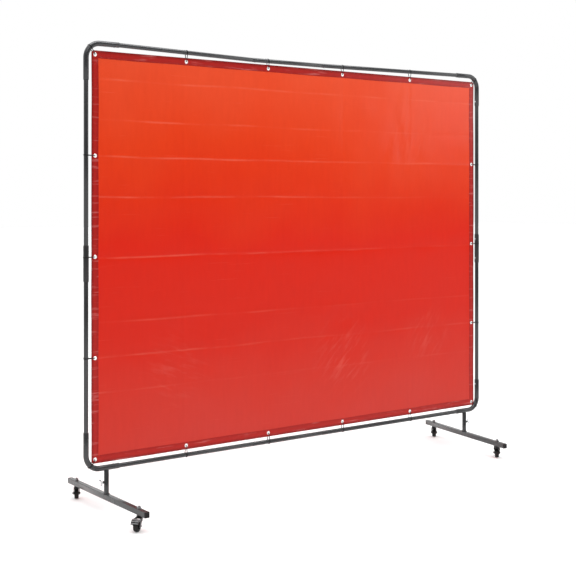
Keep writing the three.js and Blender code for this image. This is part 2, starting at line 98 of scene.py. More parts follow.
# Fold lines from packing: each one's place as a share of the sheet's height or width, and how sharp it stays.
LEVEL_FOLDS = [(0.932, 0.9), (0.833, 0.8), (0.743, -1.2), (0.644, 0.9), (0.496, 1.5),
               (0.339, -0.8), (0.254, 1.3), (0.169, -0.9)]
UPRIGHT_FOLDS = [(0.2, 0.7), (0.4, -0.5), (0.6, 0.8), (0.8, -0.5)]
LEVEL_DEPTH, UPRIGHT_DEPTH = 0.0008, 0.0010
FOLDS_Z = [(SHEET_LOW.z + share * SHEET_HEIGHT, size * LEVEL_DEPTH) for share, size in LEVEL_FOLDS]
FOLDS_X = [(SHEET_LOW.x + share * SHEET_WIDTH, size * UPRIGHT_DEPTH) for share, size in UPRIGHT_FOLDS]
# Crumpled patches: centre x and z, spread, slant and depth.
CRUMPLES = [(0.25, 0.59, 0.25, 0.75, 0.0020),
            (-0.78, 0.62, 0.24, -0.35, 0.0012),
            (0.85, 0.66, 0.20, 0.9, 0.0013),
            (0.70, 1.72, 0.26, 1.35, 0.0010)]


# --- Materials ---------------------------------------------------------------

def new_material(name):
    """A material with its node tree, its shader and the object's own coordinates."""
    material = bpy.data.materials.new(name)
    material.use_nodes = True
    tree = material.node_tree
    shader = tree.nodes["Principled BSDF"]
    coords = tree.nodes.new("ShaderNodeTexCoord").outputs["Object"]
    return material, tree, shader, coords


def noise_node(tree, coords, scale, detail=3.0, stretch=None):
    """Noise with about scale lumps in a metre. stretch scales each axis before that."""
    if stretch:
        mapping = tree.nodes.new("ShaderNodeMapping")
        mapping.inputs["Scale"].default_value = stretch
        tree.links.new(coords, mapping.inputs["Vector"])
        coords = mapping.outputs["Vector"]
    node = tree.nodes.new("ShaderNodeTexNoise")
    node.inputs["Scale"].default_value = scale
    node.inputs["Detail"].default_value = detail
    node.inputs["Roughness"].default_value = 0.55
    tree.links.new(coords, node.inputs["Vector"])
    return node.outputs["Fac"]


def ramp_node(tree, value, stops):
    node = tree.nodes.new("ShaderNodeValToRGB")
    ramp = node.color_ramp
    while len(ramp.elements) < len(stops):
        ramp.elements.new(0.5)
    for element, (place, colour) in zip(ramp.elements, stops):
        element.position = place
        element.color = (*colour, 1.0)
    tree.links.new(value, node.inputs["Fac"])
    return node.outputs["Color"]


def range_node(tree, value, low, high, from_low=0.3, from_high=0.7):
    """Maps from_low..from_high to low..high, clamped."""
    node = tree.nodes.new("ShaderNodeMapRange")
    node.inputs["From Min"].default_value = from_low
    node.inputs["From Max"].default_value = from_high
    node.inputs["To Min"].default_value = low
    node.inputs["To Max"].default_value = high
    tree.links.new(value, node.inputs["Value"])
    return node.outputs["Result"]


def math_node(tree, operation, a, b=0.0):
    """a and b are sockets or floats."""
    node = tree.nodes.new("ShaderNodeMath")
    node.operation = operation
    for socket, value in zip(node.inputs, (a, b)):
        if isinstance(value, float):
            socket.default_value = value
        else:
            tree.links.new(value, socket)
    return node.outputs["Value"]


def bump_node(tree, shader, height, strength, distance):
    node = tree.nodes.new("ShaderNodeBump")
    node.inputs["Strength"].default_value = strength
    node.inputs["Distance"].default_value = distance
    tree.links.new(height, node.inputs["Height"])
    tree.links.new(node.outputs["Normal"], shader.inputs["Normal"])


def coated(name, tones, metallic, roughness, grain, bump, pebbles=False, stretch=None, blotch=0.45,
           specular=0.5):
    """Paint, plating, rubber or plastic: tones vary with a fine grain, of that size, and with slow blotches.

    bump is the strength and the height of the grain, which pebbles makes lumpy like powder coat.
    """
    material, tree, shader, coords = new_material(name)
    fine = noise_node(tree, coords, 1 / grain, 4.0, stretch)
    slow = noise_node(tree, coords, 9.0, 3.0)
    mix = math_node(tree, "ADD", math_node(tree, "MULTIPLY", fine, 1.0 - blotch),
                    math_node(tree, "MULTIPLY", slow, blotch))
    colour = ramp_node(tree, mix, [(0.32, tones[0]), (0.5, tones[1]), (0.68, tones[2])])
    tree.links.new(colour, shader.inputs["Base Color"])
    rough = range_node(tree, slow, roughness - 0.15 * blotch, roughness + 0.2 * blotch)
    tree.links.new(rough, shader.inputs["Roughness"])
    shader.inputs["Metallic"].default_value = metallic
    shader.inputs["Specular IOR Level"].default_value = specular
    height = fine
    if pebbles:
        cells = tree.nodes.new("ShaderNodeTexVoronoi")
        cells.feature = "SMOOTH_F1"
        cells.inputs["Scale"].default_value = 1 / (2.2 * grain)
        tree.links.new(coords, cells.inputs["Vector"])
        height = math_node(tree, "ADD", cells.outputs["Distance"],
                           math_node(tree, "MULTIPLY", fine, 0.4))
    bump_node(tree, shader, height, *bump)
    return material


def mix_node(tree, blend, factor, a, b):
    """Mixes two colours. The factor and the colours are sockets or constants."""
    node = tree.nodes.new("ShaderNodeMix")
    node.data_type = "RGBA"
    node.blend_type = blend
    for key, value in (("Factor", factor), ("A", a), ("B", b)):
        socket = node.inputs[key]
        if hasattr(value, "is_linked"):
            tree.links.new(value, socket)
        else:
            socket.default_value = value if key == "Factor" else (*value, 1.0)
    return node.outputs["Result"]


# Painted highlights: pale fold lines, crumple strokes and hem streaks stand in for light caught on folds,
# ridges and gloss.
FOLD_HIGHLIGHT_COLOUR, CRUMPLE_HIGHLIGHT_COLOUR, GLOSS_STREAK_COLOUR = (0.93, 0.33, 0.22), (0.80, 0.26, 0.20), (0.80, 0.30, 0.28)
EDGE_SHADE, SEAM_SHADE = (0.50, 0.5, 0.5), (0.86, 0.8, 0.8)
EDGE_REACH = 0.03  # from the sheet's edge to where the hem has the seam's shade
FOLD_HIGHLIGHT_SHARE, CRUMPLE_HIGHLIGHT_GAIN = 0.20, 85.0  # how much the painted fold highlights lighten the vinyl, and how much the painted crumple highlights do by their depth


def fold_highlights(tree, coords, x, z, colour):
    """Painted highlights: pale, broken lines along the level folds, plus a few stray ones, mostly towards the
    upper left, standing in for light caught on the folds.
    """
    wobble = range_node(tree, noise_node(tree, coords, 2.0, 1.0), -0.006, 0.006, 0.2, 0.8)
    lifted = math_node(tree, "ADD", z, wobble)
    lines = None
    for fold, depth in FOLDS_Z:
        off = math_node(tree, "ABSOLUTE", math_node(tree, "SUBTRACT", lifted, fold))
        line = range_node(tree, off, min(1.0, abs(depth) / 0.0010), 0.0, 0.0006, 0.0068)
        lines = line if lines is None else math_node(tree, "MAXIMUM", lines, line)
    dashes = range_node(tree, noise_node(tree, coords, 1.0, 3.0, (4.0, 1.0, 30.0)), 0.12, 1.0, 0.42, 0.66)
    stray = range_node(tree, noise_node(tree, coords, 1.0, 4.0, (3.2, 1.0, 95.0)), 0.0, 0.42, 0.64, 0.78)
    upper = range_node(tree, math_node(tree, "SUBTRACT", z, x), 0.25, 1.0, 0.4, 2.0)
    marks = math_node(tree, "ADD", math_node(tree, "MULTIPLY", lines, dashes), stray)
    share = math_node(tree, "MULTIPLY", math_node(tree, "MULTIPLY", marks, upper), FOLD_HIGHLIGHT_SHARE)
    return mix_node(tree, "MIX", share, colour, FOLD_HIGHLIGHT_COLOUR)


def crumple_highlights(tree, coords, colour):
    """Painted highlights: pale strokes over the crumpled patches, running on each patch's slant and stronger
    where a patch is deeper, standing in for light caught on the ridges.
    """
    for cx, cz, spread, slant, depth in CRUMPLES:
        centred = tree.nodes.new("ShaderNodeMapping")
        centred.vector_type = "TEXTURE"
        centred.inputs["Location"].default_value = (cx, 0.0, cz)
        centred.inputs["Rotation"].default_value = (0.0, -slant, 0.0)
        tree.links.new(coords, centred.inputs["Vector"])
        local = centred.outputs["Vector"]
        away = tree.nodes.new("ShaderNodeVectorMath")
        away.operation = "LENGTH"
        tree.links.new(local, away.inputs[0])
        near = range_node(tree, away.outputs["Value"], CRUMPLE_HIGHLIGHT_GAIN * depth, 0.0, 0.1 * spread, 0.9 * spread)
        strokes = range_node(tree, noise_node(tree, local, 1.0, 3.0, (7.0, 1.0, 42.0)), 0.0, 1.0, 0.50, 0.72)
        colour = mix_node(tree, "MIX", math_node(tree, "MULTIPLY", near, strokes), colour, CRUMPLE_HIGHLIGHT_COLOUR)
    return colour


def edged(tree, coords, x, z, colour):
    """Darker at the sheet's edge and towards the seam, with pale streaks that are painted gloss highlights."""
    inset = math_node(tree, "SUBTRACT", SHEET_WIDTH / 2, math_node(tree, "ABSOLUTE", x))
    low = math_node(tree, "SUBTRACT", z, SHEET_LOW.z)
    high = math_node(tree, "SUBTRACT", SHEET_HIGH.z, z)
    inset = math_node(tree, "MINIMUM", inset, math_node(tree, "MINIMUM", low, high))
    shade = ramp_node(tree, range_node(tree, inset, 0.0, 1.0, 0.0, EDGE_REACH),
                      [(0.0, EDGE_SHADE), (0.55, (1.0, 1.0, 1.0)), (1.0, SEAM_SHADE)])
    colour = mix_node(tree, "MULTIPLY", 1.0, colour, shade)
    # pale streaks along the hem: painted gloss highlights
    gloss_streaks = range_node(tree, noise_node(tree, coords, 1.0, 4.0, (7.0, 1.0, 75.0)), 0.0, 0.30, 0.56, 0.74)
    return mix_node(tree, "MIX", gloss_streaks, colour, GLOSS_STREAK_COLOUR)


def vinyl(name, stops, roughness, is_hem):
    """Glossy flexible vinyl, its colour running slowly from the top of the sheet to the bottom. On the curtain
    this ramp is painted light: paler and hazier at the bottom as a painted reflection of the bright floor, more
    orange at the top as painted light shining through the vinyl.
    """
    material, tree, shader, coords = new_material(name)
    split = tree.nodes.new("ShaderNodeSeparateXYZ")
    tree.links.new(coords, split.inputs["Vector"])
    x, z = split.outputs["X"], split.outputs["Z"]
    slow = noise_node(tree, coords, 1.7, 2.0)
    height = range_node(tree, z, 0.0, 1.0, SHEET_LOW.z, SHEET_HIGH.z)
    wander = range_node(tree, slow, -0.08, 0.08, 0.2, 0.8)
    colour = ramp_node(tree, math_node(tree, "ADD", height, wander), stops)
    fibre = noise_node(tree, coords, 45.0, 3.0, (1.0, 1.0, 0.22))
    faint = ramp_node(tree, fibre, [(0.25, (0.955, 0.93, 0.93)), (0.75, (1.0, 1.0, 1.0))])
    colour = mix_node(tree, "MULTIPLY", 1.0, colour, faint)
    if is_hem:
        colour = edged(tree, coords, x, z, colour)
    else:
        # painted highlights on the folds and on the crumpled patches
        colour = crumple_highlights(tree, coords, fold_highlights(tree, coords, x, z, colour))
    tree.links.new(colour, shader.inputs["Base Color"])
    tree.links.new(range_node(tree, slow, roughness - 0.03, roughness + 0.05, 0.2, 0.8),
                   shader.inputs["Roughness"])
    shader.inputs["Specular IOR Level"].default_value = 0.17
    shader.inputs["IOR"].default_value = 1.5
    bump_node(tree, shader, fibre, 0.05, 0.0004)
    return material


MATERIALS = {
    "frame_paint": coated(
        "hammered_charcoal", [(0.023, 0.024, 0.025), (0.036, 0.037, 0.039), (0.058, 0.060, 0.062)],
        0.55, 0.18, 0.0012, (0.07, 0.0003), pebbles=True, blotch=0.2, specular=0.8),
    "coupler_paint": coated(
        "satin_black", [(0.006, 0.006, 0.007), (0.011, 0.011, 0.012), (0.020, 0.020, 0.021)],
        0.2, 0.42, 0.0011, (0.25, 0.0004), pebbles=True),
    "bar_paint": coated(
        "grey_powder_coat", [(0.032, 0.033, 0.034), (0.048, 0.049, 0.050), (0.072, 0.074, 0.076)],
        0.15, 0.22, 0.0010, (0.07, 0.0003), pebbles=True, blotch=0.3, specular=0.7),
    # Bottom to top: the paler, hazier low stops are a painted reflection of the floor, the more orange high
    # stops painted light shining through the vinyl.
    "curtain_vinyl": vinyl(
        "red_vinyl", [(0.0, (0.55, 0.034, 0.022)), (0.12, (0.56, 0.026, 0.013)), (0.30, (0.575, 0.012, 0.002)),
                      (0.52, (0.60, 0.012, 0.001)), (0.78, (0.64, 0.039, 0.006)), (1.0, (0.655, 0.064, 0.020))],
        0.20, is_hem=False),
    "black_plastic": coated(
        "moulded_black", [(0.0025, 0.0025, 0.0025), (0.004, 0.004, 0.0045), (0.008, 0.008, 0.009)],
        0.0, 0.42, 0.0008, (0.20, 0.0003), specular=0.22),
    "black_steel": coated(
        "black_steel", [(0.008, 0.008, 0.009), (0.016, 0.016, 0.017), (0.032, 0.032, 0.034)],
        0.5, 0.30, 0.0014, (0.15, 0.0003), specular=0.35),
    "tyre_rubber": coated(
        "tyre_rubber", [(0.006, 0.006, 0.006), (0.011, 0.011, 0.011), (0.021, 0.020, 0.020)],
        0.0, 0.58, 0.0007, (0.30, 0.0004), specular=0.25),
    "zinc": coated(
        "zinc_plate", [(0.42, 0.43, 0.44), (0.58, 0.59, 0.60), (0.72, 0.73, 0.74)],
        0.9, 0.30, 0.0009, (0.18, 0.0002), stretch=(1.0, 1.0, 6.0)),
}
HEM_VINYL = vinyl(
    "hem_vinyl", [(0.0, (0.42, 0.013, 0.009)), (0.5, (0.37, 0.009, 0.006)), (1.0, (0.35, 0.014, 0.011))],
    0.24, is_hem=True)
DULL_STEEL = coated(
    "dull_steel", [(0.16, 0.16, 0.165), (0.24, 0.24, 0.245), (0.34, 0.34, 0.345)],
    0.75, 0.32, 0.0009, (0.2, 0.0002))
NICKEL = coated(
    "grommet_nickel", [(0.80, 0.80, 0.79), (0.90, 0.90, 0.89), (0.96, 0.96, 0.95)],
    0.45, 0.30, 0.0008, (0.12, 0.0002))
WELD = coated(
    "weld_bead", [(0.012, 0.012, 0.013), (0.024, 0.024, 0.026), (0.05, 0.05, 0.052)],
    0.5, 0.45, 0.0009, (0.5, 0.0006))


# --- Mesh helpers ------------------------------------------------------------

def piece(name, verts, faces, body, slot, material=None, replaces=(), smooth=40.0, place=None):
    """A mesh object riding on a CAD body. place moves its vertices into the row frame."""
    mesh = bpy.data.meshes.new(name)
    points = [place @ Vector(v) for v in verts] if place else verts
    mesh.from_pydata([tuple(v) for v in points], [], faces)
    work = bmesh.new()
    work.from_mesh(mesh)
    bmesh.ops.recalc_face_normals(work, faces=work.faces)
    work.to_mesh(mesh)
    work.free()
    mesh.shade_smooth()
    mesh.set_sharp_from_angle(angle=math.radians(smooth))
    mesh.materials.append(material or MATERIALS[slot])
    obj = bpy.data.objects.new(name, mesh)
    scene.collection.objects.link(obj)
    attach(obj, body)
    if replaces:
        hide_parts(*replaces)
    return obj


def merge(*shapes):
    """Several (verts, faces) shapes as one."""
    verts, faces = [], []
    for shape_verts, shape_faces in shapes:
        start = len(verts)
        verts += [Vector(v) for v in shape_verts]
        faces += [tuple(start + i for i in face) for face in shape_faces]
    return verts, faces


def moved(shape, matrix):
    return [matrix @ Vector(v) for v in shape[0]], shape[1]


def loft(rings, closed=False, caps=False):
    """Faces between rings of equal size. closed joins the last ring to the first."""
    size = len(rings[0])
    verts = [Vector(v) for ring in rings for v in ring]
    faces = []
    last = len(rings) if closed else len(rings) - 1
    for i in range(last):
        j = (i + 1) % len(rings)
        for k in range(size):
            n = (k + 1) % size
            faces.append((i * size + k, i * size + n, j * size + n, j * size + k))
    if caps:
        faces.append(tuple(range(size)))
        faces.append(tuple((len(rings) - 1) * size + k for k in range(size)))
    return verts, faces


def turned(profile, sides=48, axis="Z", closed=True):
    """A body of revolution from (radius, height) pairs."""
    rings = []
    for radius, height in profile:
        ring = []
        for k in range(sides):
            a = 2 * math.pi * k / sides
            c, s = radius * math.cos(a), radius * math.sin(a)
            ring.append({"Z": (c, s, height), "Y": (c, height, -s), "X": (height, c, s)}[axis])
        rings.append(ring)
    return loft(rings, closed=closed, caps=not closed)


def tube(points, outer, inner, sides=32, lip=0.0007):
    """A hollow tube in a plane of constant Y, with softened ends."""
    points = [Vector(p) for p in points]
    tangents = []
    for i in range(len(points)):
        before, after = points[max(i - 1, 0)], points[min(i + 1, len(points) - 1)]
        tangents.append((after - before).normalized())
    across = Vector((0, 1, 0))

    def ring(i, offset, radius):
        centre = points[i] + tangents[i] * offset
        up = tangents[i].cross(across)
        return [centre + radius * (math.cos(2 * math.pi * k / sides) * across
                                   + math.sin(2 * math.pi * k / sides) * up) for k in range(sides)]

    end = len(points) - 1
    rings = [ring(0, 0, outer - lip), ring(0, 0.3 * lip, outer - 0.3 * lip), ring(0, lip, outer)]
    rings += [ring(i, 0, outer) for i in range(1, end)]
    rings += [ring(end, -lip, outer), ring(end, -0.3 * lip, outer - 0.3 * lip), ring(end, 0, outer - lip)]
    rings += [ring(end, -0.3 * lip, inner), ring(0, 0.3 * lip, inner)] if end == 1 else (
        [ring(i, 0, inner) for i in range(end, -1, -1)])
    return loft(rings, closed=True)


def prism(radius, low, high, bore=0.0, sides=6, chamfer=0.0008, axis="Z", turn=0.0):
    """A nut or bolt head with chamfered corners."""
    flats = radius * math.cos(math.pi / sides)
    count = sides * 6
    rings = []

    def outline(height, reach):
        ring = []
        for k in range(count):
            a = 2 * math.pi * k / count
            local = (a + math.pi / sides) % (2 * math.pi / sides) - math.pi / sides
            r = min(flats / math.cos(local), reach)
            ring.append(place_of(r, a + turn, height))
        return ring

    def place_of(r, a, height):
        c, s = r * math.cos(a), r * math.sin(a)
        return {"Z": (c, s, height), "Y": (c, height, -s), "X": (height, c, s)}[axis]

    rings.append(outline(low, flats * 0.97))
    rings.append(outline(low + chamfer, radius))
    rings.append(outline(high - chamfer, radius))
    rings.append(outline(high, flats * 0.97))
    if not bore:
        return loft(rings, caps=True)
    for height in (high, low):
        rings.append([place_of(bore, 2 * math.pi * k / count + turn, height) for k in range(count)])
    return loft(rings, closed=True)


def rounded_square(half, corner, steps=5):
    """Points of a square's outline with round corners, each made of that many steps."""
    ring = []
    for quarter in range(4):
        start = quarter * math.pi / 2
        centre = Vector((half - corner, half - corner))
        if quarter in (1, 2):
            centre.x *= -1
        if quarter in (2, 3):
            centre.y *= -1
        for k in range(steps + 1):
            a = start + k / steps * math.pi / 2
            ring.append((centre.x + corner * math.cos(a), centre.y + corner * math.sin(a)))
    return ring


def dome(radius, height, flange=0.0):
    """A snap button, standing on its base along +Z."""
    profile = [(radius + flange, -0.001), (radius + flange, 0.0002)] if flange else [(radius, -0.001)]
    profile += [(radius, 0.0002), (radius, height * 0.45), (radius * 0.92, height * 0.75),
                (radius * 0.62, height * 0.95), (radius * 0.2, height)]
    return turned(profile, 20, closed=False)


def pointing(where, direction):
    """Turns +Z to direction and moves it to where."""
    return Matrix.Translation(Vector(where)) @ Vector(direction).to_track_quat("Z", "Y").to_matrix().to_4x4()


# --- Frame -------------------------------------------------------------------

def sag_at(x):
    """How far the top rail hangs at x, straight between its joints and its ends."""
    left, right = JOINTS_X
    if x <= left:
        return SAG[0] * max(0.0, (x + MOUTH_X) / (left + MOUTH_X))
    if x >= right:
        return SAG[1] * max(0.0, (MOUTH_X - x) / (MOUTH_X - right))
    return SAG[0] + (SAG[1] - SAG[0]) * (x - left) / (right - left)


def rail_z(level, x):
    return TOP_Z - sag_at(x) if level > 0 else BOTTOM_Z


for level, word in ((1, "top"), (-1, "bottom")):
    tip = MOUTH_X + INSERTION
    stations = {
        "left": [-tip, -MOUTH_X, JOINTS_X[0] - GAP],
        "middle": [JOINTS_X[0], JOINTS_X[1] - GAP],
        "right": [JOINTS_X[1], MOUTH_X, tip],
    }
    for part, xs in stations.items():
        points = [(x, 0, rail_z(level, x)) for x in xs]
        shapes = [tube(points, TUBE, TUBE_BORE)]
        if part != "right":
            far = xs[-1] + SPIGOT_LENGTH
            shapes.append(tube([(xs[-1] - 0.004, 0, rail_z(level, xs[-1] - 0.004)),
                                (far, 0, rail_z(level, far))], SPIGOT, SPIGOT_BORE))
        piece(f"{word}_{part}_rail", *merge(*shapes), "frame", "frame_paint",
              replaces=[f"{word}_rail_{part}_tube"])

for sign, word in ((-1, "left"), (1, "right")):
    x = sign * SIDE_X
    for part in ("lower", "upper"):
        low, high, _ = box_of(f"{word}_side_{part}_tube")
        piece(f"{word}_{part}_upright", *tube([(x, 0, low.z), (x, 0, high.z)], TUBE, TUBE_BORE),
              "frame", "frame_paint", replaces=[f"{word}_side_{part}_tube"])
    piece(f"{word}_upright_coupler",
          *tube([(x, 0, COUPLER_Z[0]), (x, 0, COUPLER_Z[1])], SOCKET, SOCKET_BORE, lip=0.0011),
          "frame", "coupler_paint", replaces=[f"{word}_side_coupler"])
    for level, height in ((1, "top"), (-1, "bottom")):
        z = TOP_Z if level > 0 else BOTTOM_Z
        points = [(x, 0, z - level * ELBOW_LEG)]
        for step in range(25):
            a = step / 24 * math.pi / 2
            points.append((sign * (SIDE_X - BEND + BEND * math.cos(a)), 0,
                           z - level * (BEND - BEND * math.sin(a))))
        points.append((sign * MOUTH_X, 0, z))
        shapes = [tube(points, SOCKET, SOCKET_BORE, lip=0.0010)]
        if level < 0:
            post_x = sign * (SIDE_X - POST_INSET)
            foot_of_post, weld_to_bend = BAR_TOP + 0.020, z - 0.0064
            shapes.append(tube([(post_x, 0, foot_of_post), (post_x, 0, weld_to_bend)], POST, POST_BORE))
        piece(f"{height}_{word}_bend", *merge(*shapes), "frame", "frame_paint",
              replaces=[f"{height}_{word}_elbow"])

# Snap buttons lock every tube, on the side that faces the curtain.
buttons = []
for sign in (-1, 1):
    for level, z in ((1, TOP_Z), (-1, BOTTOM_Z)):
        buttons.append(((sign * (MOUTH_X + 0.024), 0, z - level * SOCKET), (0, 0, -level)))
        buttons.append(((sign * (SIDE_X - SOCKET), 0, z - level * (ELBOW_LEG - 0.024)), (-sign, 0, 0)))
    for z in (COUPLER_Z[0] + 0.026, COUPLER_Z[1] - 0.026):
        buttons.append(((sign * (SIDE_X - SOCKET), 0, z), (-sign, 0, 0)))
for level in (1, -1):
    for x in JOINTS_X:
        spot = x + 0.018
        buttons.append(((spot, 0, rail_z(level, spot) - level * TUBE), (0, 0, -level)))
for count, (where, direction) in enumerate(buttons, 1):
    piece(f"snap_button_{count:02d}", *moved(dome(0.0029, 0.0026, 0.0009), pointing(where, direction)),
          "frame", "zinc")


# --- Curtain -----------------------------------------------------------------

def grommet_centres():
    """The eyelets' centres as (x, z), column by column, each column from the bottom."""
    centres = []
    for column in range(COLUMNS):
        for row in range(ROWS):
            if column % (COLUMNS - 1) and row % (ROWS - 1):
                continue
            u = column / (COLUMNS - 1) - 0.5
            v = row / (ROWS - 1)
            centres.append(Vector((u * (SHEET_WIDTH - 2 * GROMMET_INSET),
                                   SHEET_LOW.z + GROMMET_INSET + v * (SHEET_HEIGHT - 2 * GROMMET_INSET))))
    return centres


GROMMETS = grommet_centres()
PITCH_X = (SHEET_WIDTH - 2 * GROMMET_INSET) / (COLUMNS - 1)
PITCH_Z = (SHEET_HEIGHT - 2 * GROMMET_INSET) / (ROWS - 1)
CREASE = 0.012  # how far a fold's slopes reach
EDGE_SLACK = 0.05  # how far into the sheet the slack of its edges reaches
LEAN = 0.0022  # out of the plane, between two ties
PULL_X, PULL_Z = 0.0036, 0.0026  # how far the edges pull in between two ties


def shape_at(x, z):
    """Where the sheet lies at flat point (x, z): its pull towards the ties, folds and slack."""
    left, right = x - SHEET_LOW.x, SHEET_HIGH.x - x
    low, high = z - SHEET_LOW.z, SHEET_HIGH.z - z
    edge = min(left, right, low, high)
    inner = min(1.0, max(0.0, (edge - 0.030) / 0.12))
    depth = 0.0
    for fold, size in FOLDS_Z:
        fade = 0.35 + 0.65 * abs(noise.noise((x * 1.7, fold * 9.0, 3.0))) * 1.6
        depth += size * fade * math.exp(-abs(z + 0.004 * math.sin(2.1 * x + fold * 7) - fold) / CREASE)
    for fold, size in FOLDS_X:
        fade = 0.35 + 0.65 * abs(noise.noise((fold * 9.0, z * 1.9, 8.0))) * 1.6
        depth += size * fade * math.exp(-abs(x - fold) / CREASE)
    depth += 0.0035 * noise.noise((x * 1.3, z * 1.6, 0.5)) * inner
    depth += 0.0007 * noise.noise((x * 7.0, z * 9.0, 4.0)) * inner
    # in the crumpled patches the ridges run on the slant
    for cx, cz, spread, slant, size in CRUMPLES:
        near = math.exp(-((x - cx) ** 2 + (z - cz) ** 2) / spread ** 2)
        if near > 0.02:
            u = (x - cx) * math.cos(slant) + (z - cz) * math.sin(slant)
            v = (z - cz) * math.cos(slant) - (x - cx) * math.sin(slant)
            depth += size * near * (1.0 - 3.0 * abs(noise.noise((u * 3.0, v * 13.0, cx * 5.0))))
    # between two ties the edge slackens, pulls in a little and leans out of the plane
    along_x = 0.5 - 0.5 * math.cos(2 * math.pi * (x - GROMMETS[0].x) / PITCH_X)
    along_z = 0.5 - 0.5 * math.cos(2 * math.pi * (z - GROMMETS[0].y) / PITCH_Z)
    near_side = math.exp(-min(left, right) / EDGE_SLACK)
    near_level = math.exp(-min(low, high) / EDGE_SLACK)
    depth += LEAN * near_side * along_z * noise.noise((x, z * 2.3, 9.0)) * 2
    depth += LEAN * near_level * along_x * noise.noise((x * 2.3, z, 12.0)) * 2
    pull_x = PULL_X * near_side * along_z * (1 if left < right else -1)
    pull_z = PULL_Z * near_level * along_x * (1 if low < high else -1)
    if left < 0 or right < 0 or low < 0 or high < 0:
        pull_x = pull_z = 0.0
    return Vector((x + pull_x, depth, z + pull_z))


def circle(centre, radius, count=20):
    return [(centre[0] + radius * math.cos(2 * math.pi * k / count),
             centre[1] + radius * math.sin(2 * math.pi * k / count)) for k in range(count)]


def outline(inset, step=0.02):
    """The sheet's rounded outline moved inwards, as points step apart."""
    half_x = SHEET_WIDTH / 2 - inset
    low, high = SHEET_LOW.z + inset, SHEET_HIGH.z - inset
    corner = max(CURTAIN_CORNER - inset, 0.0)
    corners = [(half_x, high, 0), (-half_x, high, 1), (-half_x, low, 2), (half_x, low, 3)]
    ring = []
    for x, z, quarter in corners:
        cx, cz = x - math.copysign(corner, x), z - corner if z == high else z + corner
        if corner:
            ring += [(cx + corner * math.cos(quarter * math.pi / 2 + k * math.pi / 12),
                      cz + corner * math.sin(quarter * math.pi / 2 + k * math.pi / 12)) for k in range(7)]
        else:
            ring.append((x, z))
    dense = []
    for a, b in zip(ring, ring[1:] + ring[:1]):
        parts = max(1, round(math.dist(a, b) / step))
        dense += [(a[0] + (b[0] - a[0]) * k / parts, a[1] + (b[1] - a[1]) * k / parts) for k in range(parts)]
    return dense


def slab(loops, extra, outside, thickness):
    """A closed slab of that thickness following the sheet. loops bound it, outside(x, z) is cut away."""
    points, edges = [], []
    for loop in loops:
        start = len(points)
        points += loop
        edges += [(start + k, start + (k + 1) % len(loop)) for k in range(len(loop))]
    points += extra
    made = delaunay_2d_cdt([Vector(p) for p in points], edges, [], 1, 1e-6, False)
    flat, triangles = made[0], made[2]
    kept = []
    for face in triangles:
        cx = sum(flat[i].x for i in face) / len(face)
        cz = sum(flat[i].y for i in face) / len(face)
        if not outside(cx, cz):
            kept.append(tuple(face))
    used = sorted({i for face in kept for i in face})
    renumber = {old: new for new, old in enumerate(used)}
    front, back = [], []
    for i in used:
        p = shape_at(flat[i].x, flat[i].y)
        front.append(p - Vector((0, thickness / 2, 0)))
        back.append(p + Vector((0, thickness / 2, 0)))
    faces, seen = [], []
    for face in kept:
        f = tuple(renumber[i] for i in face)
        faces.append(f)
        faces.append(tuple(i + len(used) for i in reversed(f)))
        seen += [(f[k], f[(k + 1) % len(f)]) for k in range(len(f))]
    paired = set(seen)
    for a, b in seen:
        if (b, a) not in paired:
            faces.append((b, a, a + len(used), b + len(used)))
    return front + back, faces


def spaced(low, high, step, folds):
    """Values step apart between low and high, with some close to each fold."""
    count = round((high - low) / step)
    values = [low + (high - low) * k / count for k in range(1, count)]
    near = [fold + offset for fold, _ in folds for offset in (-0.012, -0.004, 0.0, 0.004, 0.012)]
    values = [v for v in values if all(abs(v - n) > 0.005 for n in near)]
    return sorted(values + [n for n in near if low + 0.004 < n < high - 0.004])


def clear_of_holes(x, z, gap=0.0095):
    return all((x - g.x) ** 2 + (z - g.y) ** 2 > gap ** 2 for g in GROMMETS)


def in_hole(x, z):
    return not clear_of_holes(x, z, GROMMET_HOLE * 0.97)


MESH_STEP = 0.019
holes = [circle(g, GROMMET_HOLE) for g in GROMMETS]
collars = [p for g in GROMMETS for p in circle(g, 0.0085, 16)]
grid = [(x, z) for x in spaced(SHEET_LOW.x, SHEET_HIGH.x, MESH_STEP, FOLDS_X)
        for z in spaced(SHEET_LOW.z, SHEET_HIGH.z, MESH_STEP, FOLDS_Z) if clear_of_holes(x, z)]
sheet = piece("vinyl_sheet", *slab([outline(0.0)] + holes, collars + grid, in_hole, CURTAIN_THICKNESS),
              "frame", "curtain_vinyl", replaces=["curtain"], smooth=60.0)

inner_x, inner_low, inner_high = SHEET_WIDTH / 2 - HEM, SHEET_LOW.z + HEM, SHEET_HIGH.z - HEM


def off_hem(x, z):
    return in_hole(x, z) or (abs(x) < inner_x and inner_low < z < inner_high)


band = [p for inset in (0.006, 0.0125, 0.0195, 0.027) for p in outline(inset, 0.012) if clear_of_holes(*p)]
hem_shape = slab([outline(-0.0003), outline(HEM)] + holes, collars + band, off_hem, HEM_THICKNESS)
hem = piece("vinyl_hem", *hem_shape, "frame", "curtain_vinyl", HEM_VINYL, smooth=50.0)

